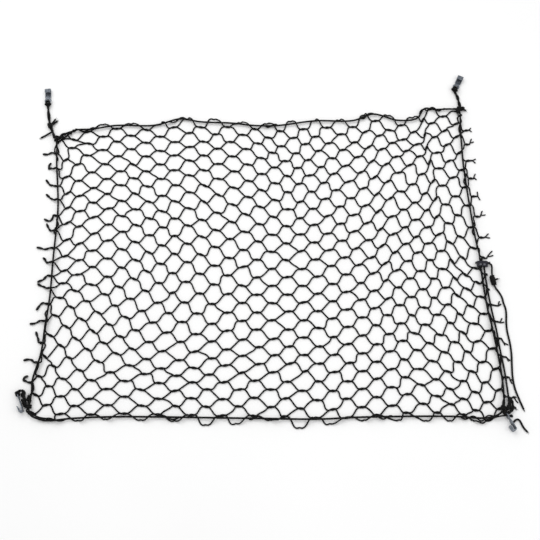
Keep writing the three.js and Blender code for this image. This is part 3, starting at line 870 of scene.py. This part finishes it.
# Where edge loops are bunched round the draw cord: the side, from and to which share, and the turns.
GATHERS = [
    (FAR_SIDE, 0.005, 0.05, 2), (FAR_SIDE, 0.05, 0.10, 1), (FAR_SIDE, 0.27, 0.32, 1),
    (FAR_SIDE, 0.5, 0.54, 1), (FAR_SIDE, 0.74, 0.78, 1), (FAR_SIDE, 0.88, 0.97, 3),
    (NEAR_SIDE, 0.02, 0.08, 1), (NEAR_SIDE, 0.27, 0.32, 1), (NEAR_SIDE, 0.46, 0.5, 1),
    (NEAR_SIDE, 0.72, 0.76, 1), (NEAR_SIDE, 0.9, 0.97, 2), (LEFT_SIDE, 0.03, 0.12, 1),
    (LEFT_SIDE, 0.3, 0.35, 1), (LEFT_SIDE, 0.62, 0.68, 1), (LEFT_SIDE, 0.9, 0.98, 1),
    (RIGHT_SIDE, 0.55, 0.6, 1), (RIGHT_SIDE, 0.72, 0.77, 1), (RIGHT_SIDE, 0.9, 0.97, 1),
]
GATHER_REACH = 5.6


def build_gathers():
    """The slack of the edge loops, wound round the draw cord."""
    tubes = Tubes()
    for side, start, end, turns in GATHERS:
        line = [(*along_side(side, share), ON_NET + 0.4) for share in np.linspace(start, end, 9)]
        path = smooth(line, step=2.5)
        across, up = frames_along(path)
        shares = np.linspace(0, 1, len(path))[:, None]
        angles = 2 * math.pi * turns * shares + rng.uniform(0, 2 * math.pi)
        reach = GATHER_REACH * np.sin(math.pi * shares) ** 0.4
        path = path + reach * (np.cos(angles) * across + 0.8 * np.sin(angles) * up)
        path[:, 2] = np.maximum(path[:, 2], STRAND_HEIGHT)
        tubes.add(path, STRAND_RADIUS, sides=STRAND_SIDES)
    tubes.build("net_gathers", NET_YARN, "net")


def held_cord(name, route, node, closed=False):
    """A cord that is held at both ends, or that closes on itself."""
    tubes = Tubes()
    tubes.add(smooth(route, step=3, closed=closed), DRAW_RADIUS, sides=12, closed=closed)
    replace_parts(tubes.build(name, CORD_YARN, "cord"), node)


# ---- the hooks

# A hook's stamped blank, laid flat. Places along it start at the middle of its eye's rim.
EYE_RADIUS = 10
EYE_HOLE = 5
EYE_MIDDLE = (EYE_RADIUS + EYE_HOLE) / 2
HOOK_NECK = 5.5
HOOK_HALF_WIDTH = 8.5
HOOK_SHOULDER = 20.5
HOOK_TIP_ROUND = 4
HOOK_THICKNESS = 2.2
HOOK_EDGE_ROUND = 0.55
# Its pressed grooves: places across, half width, depth, and the middle and half length of their run.
HOOK_GROOVES = (-3.2, 3.2)
GROOVE_HALF_WIDTH = 0.75
GROOVE_DEPTH = 0.55
GROOVE_MIDDLE = 44
GROOVE_REACH = 23
# Its folds, one after another from the eye's rim: a length, and the degrees that it turns there.
HOOK_FOLDS = [(43.4, 0), (4.7, 90), (3.2, 0), (4.7, 90), (8.9, 0), (1.5, -28), (3.2, 0)]
HOOK_LENGTH = sum(length for length, _ in HOOK_FOLDS)
# The cuts that let it bend smoothly, along and across it: start, end and step.
CUTS_ALONG = (19, HOOK_LENGTH, 0.9)
CUTS_ACROSS = (-6.5, 6.6, 0.5)

# Each hook: the middle of its eye's rim, its heading, and how it is turned over and dropped.
HOOKS = {
    "far_left": ((-661, 530, AT_EYE), 1.67, 0, 0.155),
    "far_right": ((535, 579, AT_EYE), 1.13, 0, 0.155),
    "near_left": ((-658, -357, 10.1), -1.19, math.pi / 2, 0),
    "near_right": ((590, -408, 10.1), -1.08, math.pi / 2, 0),
}


def hook_pose(corner):
    place, heading, turn, drop = HOOKS[corner]
    pose = Matrix.Translation(place)
    for angle, axis in ((heading, "Z"), (drop, "Y"), (turn, "X")):
        pose = pose @ Matrix.Rotation(angle, 4, axis)
    return pose


def hook_outline():
    neck = math.degrees(math.asin(HOOK_NECK / EYE_RADIUS))
    eye = arc(EYE_MIDDLE, 0, EYE_RADIUS, neck, 360 - neck, 40)
    start = eye[-1][0]
    shoulder = []
    for share in np.linspace(0.15, 1, 8):
        half = HOOK_NECK + (HOOK_HALF_WIDTH - HOOK_NECK) * (1 - math.cos(math.pi * share)) / 2
        shoulder.append((start + share * (HOOK_SHOULDER - start), -half))
    corner = (HOOK_LENGTH - HOOK_TIP_ROUND, HOOK_HALF_WIDTH - HOOK_TIP_ROUND)
    tip = arc(corner[0], -corner[1], HOOK_TIP_ROUND, -90, 0, 8)
    side = shoulder + tip
    return eye + side + [(x, -y) for x, y in side[::-1]]


def fold(place):
    """Where a point of the flat blank goes when the blank is folded into a hook."""
    along, across, height = place
    pressed = sum(math.exp(-((across - groove) / GROOVE_HALF_WIDTH) ** 2) for groove in HOOK_GROOVES)
    height -= GROOVE_DEPTH * pressed * math.exp(-((along - GROOVE_MIDDLE) / GROOVE_REACH) ** 8)
    x = z = heading = 0.0
    for length, degrees in HOOK_FOLDS:
        gone = min(along, length)
        turn = math.radians(degrees) * gone / length
        if degrees:
            radius = length / math.radians(degrees)
            x += radius * (math.sin(heading + turn) - math.sin(heading))
            z += radius * (math.cos(heading) - math.cos(heading + turn))
        else:
            x += gone * math.cos(heading)
            z += gone * math.sin(heading)
        heading += turn
        along -= gone
        if along <= 0:
            break
    return Vector((x - height * math.sin(heading), across, z + height * math.cos(heading)))


def folded_blank():
    hole = arc(EYE_MIDDLE, 0, EYE_HOLE, 360, 9, 40)
    solid = plate([hook_outline(), hole], HOOK_THICKNESS, HOOK_EDGE_ROUND)
    for along in np.arange(*CUTS_ALONG):
        cut(solid, (along, 0, 0), (1, 0, 0))
    for across in np.arange(*CUTS_ACROSS):
        cut(solid, (0, across, 0), (0, 1, 0))
    bmesh.ops.triangulate(solid, faces=solid.faces)
    for vertex in solid.verts:
        vertex.co = fold(vertex.co)
    return solid


def cut(solid, place, normal):
    everything = [*solid.verts, *solid.edges, *solid.faces]
    bmesh.ops.bisect_plane(solid, geom=everything, plane_co=place, plane_no=normal)


def build_hooks():
    blank = folded_blank()
    for corner in HOOKS:
        hook = finish_solid("hook_steel_" + corner, blank.copy(), hook_pose(corner), STEEL)
        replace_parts(hook, "hook_" + corner)


# ---- the tethers

# Each tether: its hitch's spread and reach on the hook's rim, the ring round the draw cord and its
# heading, the knot, its heading, turns and reach, the doubled run to the hook's eye, and the cut ends.
TETHERS = {
    "far_left": {
        "hitch": (3.9, 5),
        "ring": ((-623.5, 407.5, IN_RING), 1.48),
        "knot": ((-648, 452, IN_KNOT), 1.9, 3, 4.8),
        "run": [
            (-630.5, 409, 10.5), (-637, 427, IN_KNOT), (-648, 452, IN_KNOT), (-652, 468, 5.6),
            (-656, 490, 5), (-659, 508, 5.4), (-660.5, 524.6, AT_EYE),
        ],
        "ends": [
            [(-646, 455, 8), (-640, 464, 6), (-636, 474, 4)],
            [(-644, 452, 8), (-637, 460, 5), (-630, 469, 3.5)],
            [(-636, 431, 8), (-647, 427, 6), (-659, 420, 4), (-671, 413, 3.2)],
        ],
    },
    "far_right": {
        "hitch": (4.2, 5),
        "ring": ((537, 498, IN_RING), 2.25),
        "knot": ((546, 509.5, IN_KNOT), -0.08, 4, 4),
        "run": [
            (541, 503, 9), (545, 509, IN_KNOT), (544, 522, 6), (542, 538, 5), (539, 555, 5),
            (534, 566, 6.5), (532.7, 574.1, AT_EYE),
        ],
        "ends": [
            [(541, 509, 8), (534, 510, 6), (527, 509, 7.5)],
            [(548, 507, 8.4), (556, 507, 6), (560, 505, 5)],
        ],
    },
    "near_left": {
        "hitch": (1.7, 4.2),
        "ring": ((-626, -389, IN_RING), 1.571),
        "knot": ((-640, -378, IN_KNOT), 2.0, 4, 3.8),
        "run": [
            (-631.6, -390, 10.5), (-635, -386, IN_KNOT), (-640, -378, IN_KNOT), (-642, -362, 7),
            (-643.5, -352, 7.2), (-648.5, -346, 7.6), (-655, -347.5, 9), (-658.5, -353.5, 10.1),
        ],
        "ends": [[(-638, -372, 8), (-633, -367, 7), (-631, -359, 7)]],
    },
    "near_right": {
        "hitch": (1.7, 4.2),
        "ring": ((584, -392.5, IN_RING), 1.23),
        "knot": ((597, -392, ON_TOP), 1.3, 2, 3),
        "run": [
            (589, -397, ON_TOP), (597, -392, ON_TOP), (602, -379, 9), (606, -371.5, 7.5), (610, -377, 6.5),
            (609.5, -389, 6), (604, -401, 7.5), (595.5, -405.5, 10.1),
        ],
        "ends": [[(600, -388, ON_TOP), (606, -391, 8), (613, -388, 5), (618, -393, 4)]],
    },
}

# How much wider a hitch is away from the hook, how far the loop over it stands past it and rises, and
# how rings, runs and knots are wound.
HITCH_FLARE = 0.45
COLLAR_MARGIN = 3.6
COLLAR_RISE = 4.4
RING_SPREAD = 2.4
RING_REACH = 5.2
RUN_TURNS = 1.5
KNOT_PITCH = 4.7


def directions(heading):
    """Along a heading, and to its left."""
    ahead = np.array([math.cos(heading), math.sin(heading), 0.0])
    return ahead, np.array([-ahead[1], ahead[0], 0.0])


def turn_round(tubes, centre, first, second, spread, flare, reach):
    """Two turns of cord round a rim, each a spread away from its middle. first and second span their
    planes, and they lie wider apart, by flare, on the side that faces away from first."""
    angles = np.linspace(0, 2 * math.pi, 20, endpoint=False)[:, None]
    ring = centre + reach * (np.cos(angles) * first + np.sin(angles) * second)
    apart = spread * (1 - flare * np.cos(angles)) * np.cross(first, second)
    for side in (-1, 1):
        tubes.add(ring + side * apart, TIE_RADIUS, closed=True)


def collar(tubes, centre, across, up, width):
    """The loop of a hitch that lies over its two strands."""
    angles = np.linspace(0, 2 * math.pi, 22, endpoint=False)[:, None]
    ring = centre + width * np.cos(angles) * across + COLLAR_RISE * np.sin(angles) * up
    tubes.add(ring, TIE_RADIUS, closed=True)


def twisted_pair(tubes, run):
    """Two strands laid round each other along a run."""
    path = smooth(run, step=2.2)
    across, up = frames_along(path)
    angles = np.linspace(0, 2 * math.pi * RUN_TURNS, len(path))[:, None]
    for side in (-1, 1):
        offset = np.cos(angles) * across + 0.6 * np.sin(angles) * up
        strand = path + side * 0.95 * TIE_RADIUS * offset
        strand[:, 2] = np.maximum(strand[:, 2], TIE_RADIUS + 0.1)
        tubes.add(strand, TIE_RADIUS)


def knot_coil(tubes, centre, heading, turns, reach, pitch=KNOT_PITCH):
    """A knot pulled tight: its turns, the strand that crosses them, and the core that fills them."""
    axis, side = directions(heading)
    half = pitch * turns / 2
    angles = np.linspace(0, 2 * math.pi * turns, 16 * turns)[:, None]
    along = pitch * angles / (2 * math.pi) - half
    swell = reach * (1 + 0.06 * np.cos(math.pi * along / half))
    coil = centre + along * axis + swell * (np.cos(angles) * side + np.sin(angles) * UP)
    tubes.add(coil, TIE_RADIUS)
    crossing = [
        centre - (half + 1) * axis - 0.5 * reach * side,
        centre - 0.7 * half * axis - 0.8 * reach * side + 0.8 * reach * UP,
        centre + 1.25 * reach * UP,
        centre + 0.7 * half * axis + 0.8 * reach * side + 0.8 * reach * UP,
        centre + (half + 1) * axis + 0.5 * reach * side,
    ]
    tubes.add(smooth(crossing, step=2), TIE_RADIUS - 0.2)
    core = [centre - 0.8 * half * axis, centre, centre + 0.8 * half * axis]
    tubes.add(core, [0.6 * reach, 0.85 * reach, 0.6 * reach])


def hitch(tubes, corner, wide, reach):
    """The hitch at a hook's eye: two turns through it, and the loop that lies over them."""
    pose = hook_pose(corner)
    ahead, across, up = (np.array(pose.col[i][:3]) for i in range(3))
    rim = np.array(pose.translation)
    turn_round(tubes, rim, ahead, up, wide, HITCH_FLARE, reach)
    collar(tubes, rim - 1.3 * reach * ahead, across, up, COLLAR_MARGIN + wide)


def build_tethers():
    cut_ends = []
    for corner, parts in TETHERS.items():
        tubes = Tubes()
        hitch(tubes, corner, *parts["hitch"])
        centre, heading = parts["ring"]
        _, beside = directions(heading)
        turn_round(tubes, centre, beside, UP, RING_SPREAD, 0, RING_REACH)
        knot_coil(tubes, *parts["knot"])
        twisted_pair(tubes, parts["run"])
        for end in parts["ends"]:
            path = smooth(end, step=2)
            tubes.add(path, np.linspace(TIE_RADIUS, TIE_RADIUS + 0.2, len(path)))
            cut_ends.append(path)
        piece = tubes.build("tether_braid_" + corner, CORD_YARN, "cord")
        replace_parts(piece, "tether_" + corner)
    frayed_piece("tether_frays", cut_ends)


# ---- the cord lock and the stopper knot

LOCK_AT = (565.5, 11, IN_LOCK)
LOCK_SIZE = (30, 16, 9.2)
LOCK_ROUND = 3.5
LOCK_EDGE_ROUND = 1.1
LOCK_CHANNELS = (-4.5, 4.5)
CHANNEL_RADIUS = 3
# The painted highlights, pale domes on the lock's top: places from the lock's middle, the radius of the
# dark rim round each, and heights over the lock with radii.
LOCK_PAINTED_HIGHLIGHTS = ((-5.2, -2.5), (5.2, -2.5))
HIGHLIGHT_RIM = 3.3
HIGHLIGHT_PROFILE = [(-1.0, 2.9), (0.3, 2.9), (0.75, 2.6), (0.95, 2.0), (0.7, 1.4), (0.7, 0.1)]
# The end stubs: how far behind its middle, each side's share of the reach, and reaches with radii.
STUB_BEHIND = 4
STUB_SHARES = ((-1, 0.5), (1, 1))
STUB_PROFILE = [
    (-1.5, 3.6), (0.6, 3.6), (0.9, 3.2), (1.2, 2.6), (5.4, 2.6), (5.9, 3.1), (6.6, 3.2), (7.2, 2.7),
    (7.5, 0.4),
]
# The thumb ribs: how far out they are, how far each runs back and up, and the radius of ribs and rims.
LOCK_RIBS = (10.2, 11.8, 13.4)
RIB_PROFILE = [(-5.5, 0), (-1.9, 0.25), (1.9, 0.25), (5.5, 0)]
RIB_RADIUS = 0.5


def build_lock():
    width, depth, height = LOCK_SIZE
    x, y = width / 2 - LOCK_ROUND, height / 2 - LOCK_ROUND
    outline = []
    for start, corner in ((-90, (x, -y)), (0, (x, y)), (90, (-x, y)), (180, (-x, -y))):
        outline += arc(*corner, LOCK_ROUND, start, start + 90, 8)
    holes = [arc(channel, 0, CHANNEL_RADIUS, 360, 15, 24) for channel in LOCK_CHANNELS]
    solid = plate([outline, *holes], depth, LOCK_EDGE_ROUND)
    pose = Matrix.Translation(LOCK_AT) @ Matrix.Rotation(math.pi / 2, 4, "X")
    body = finish_solid("lock_body", solid, pose, PLASTIC)
    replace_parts(body, "cord_lock")
    lock_fittings()


def lock_fittings():
    """The lock's two painted highlights, pale domes on its top, the stubs at its ends, and the ribs that a
    thumb grips.
    """
    x, y, z = LOCK_AT
    top = z + LOCK_SIZE[2] / 2
    painted_highlights, moulded = Tubes(), Tubes()
    heights, highlight_radii = zip(*HIGHLIGHT_PROFILE)
    # Each painted highlight is a pale dome, with a dark moulded rim round it.
    for highlight_x, highlight_y in LOCK_PAINTED_HIGHLIGHTS:
        centre = (x + highlight_x, y + highlight_y)
        painted_highlights.add([(*centre, top + height) for height in heights], highlight_radii, sides=24)
        rim = [(*point, top) for point in arc(*centre, HIGHLIGHT_RIM, 0, 345, 24)]
        moulded.add(rim, RIB_RADIUS, sides=8, closed=True)
    reaches, stub_radii = zip(*STUB_PROFILE)
    for side, share in STUB_SHARES:
        outs = [side * (LOCK_SIZE[0] / 2 + share * reach) for reach in reaches]
        moulded.add([(x + out, y + STUB_BEHIND, z) for out in outs], stub_radii, sides=20)
    for side in (-1, 1):
        for rib in LOCK_RIBS:
            foot = top - 0.25 * (rib - 10)
            ridge = [(x + side * rib, y + back, foot + rise) for back, rise in RIB_PROFILE]
            moulded.add(ridge, RIB_RADIUS, sides=8)
    painted_highlights.build("lock_painted_highlights", PAINTED_HIGHLIGHT_PLASTIC, "lock")
    moulded.build("lock_mouldings", PLASTIC, "lock")


# The stopper knot: its middle, heading, turns, reach and pitch, and its cut end.
STOPPER = ((590.4, -37, 8.2), -1.4, 5, 5.2, 4.9)
STOPPER_END = [(591, -39, 12), (597, -35, 9), (604, -32, 6)]


def build_stopper():
    """The knot that keeps the loose end from slipping back through the lock."""
    tubes = Tubes()
    knot_coil(tubes, *STOPPER)
    end = smooth(STOPPER_END, step=2)
    tubes.add(end, TIE_RADIUS)
    knot = tubes.build("stopper_turns", CORD_YARN, "cord")
    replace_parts(knot, "stopper_knot")
    return [knot, frayed_piece("stopper_fray", [end])]


# ---- floor, light and the finish

# In metres: how far the floor reaches, and each light's name, place, size and watts.
FLOOR_REACH_M = 5
LIGHTS_M = [("key", (-1.2, 1.6, 3.2), 3.0, 51), ("fill", (1.8, -1.0, 3.0), 3.0, 28)]
WORLD_STRENGTH = 0.69


def add_floor():
    mesh = bpy.data.meshes.new("floor")
    corners = [(x * FLOOR_REACH_M, y * FLOOR_REACH_M, 0) for x, y in ((-1, -1), (1, -1), (1, 1), (-1, 1))]
    mesh.from_pydata(corners, [], [(0, 1, 2, 3)])
    mesh.materials.append(floor_material())
    add_object("floor", mesh)


def add_lights():
    world = bpy.data.worlds.new("studio")
    world.use_nodes = True
    background = world.node_tree.nodes["Background"].inputs
    background["Color"].default_value = (1, 1, 1, 1)
    background["Strength"].default_value = WORLD_STRENGTH
    bpy.context.scene.world = world
    bpy.context.scene.view_settings.view_transform = "Standard"
    for name, place, size, power in LIGHTS_M:
        data = bpy.data.lights.new(name, "AREA")
        data.energy = power
        data.size = size
        light = add_object(name, data)
        light.location = place
        light.rotation_euler = Vector(place).to_track_quat("Z", "Y").to_euler()


def main():
    add_camera()
    free_cord("loose_cord_braid", LOOSE_END_M, "loose_cord", with_pieces=build_stopper())
    free_cord("corner_cord_braid", CORNER_END_M, "corner_cord_end", both_cut=True)
    build_net()
    build_gathers()
    held_cord("draw_cord_braid", draw_route(), "draw_cord", closed=True)
    held_cord("lock_cord_braid", LOCK_CORD, "lock_cord")
    build_lock()
    build_hooks()
    build_tethers()
    add_floor()
    add_lights()


main()
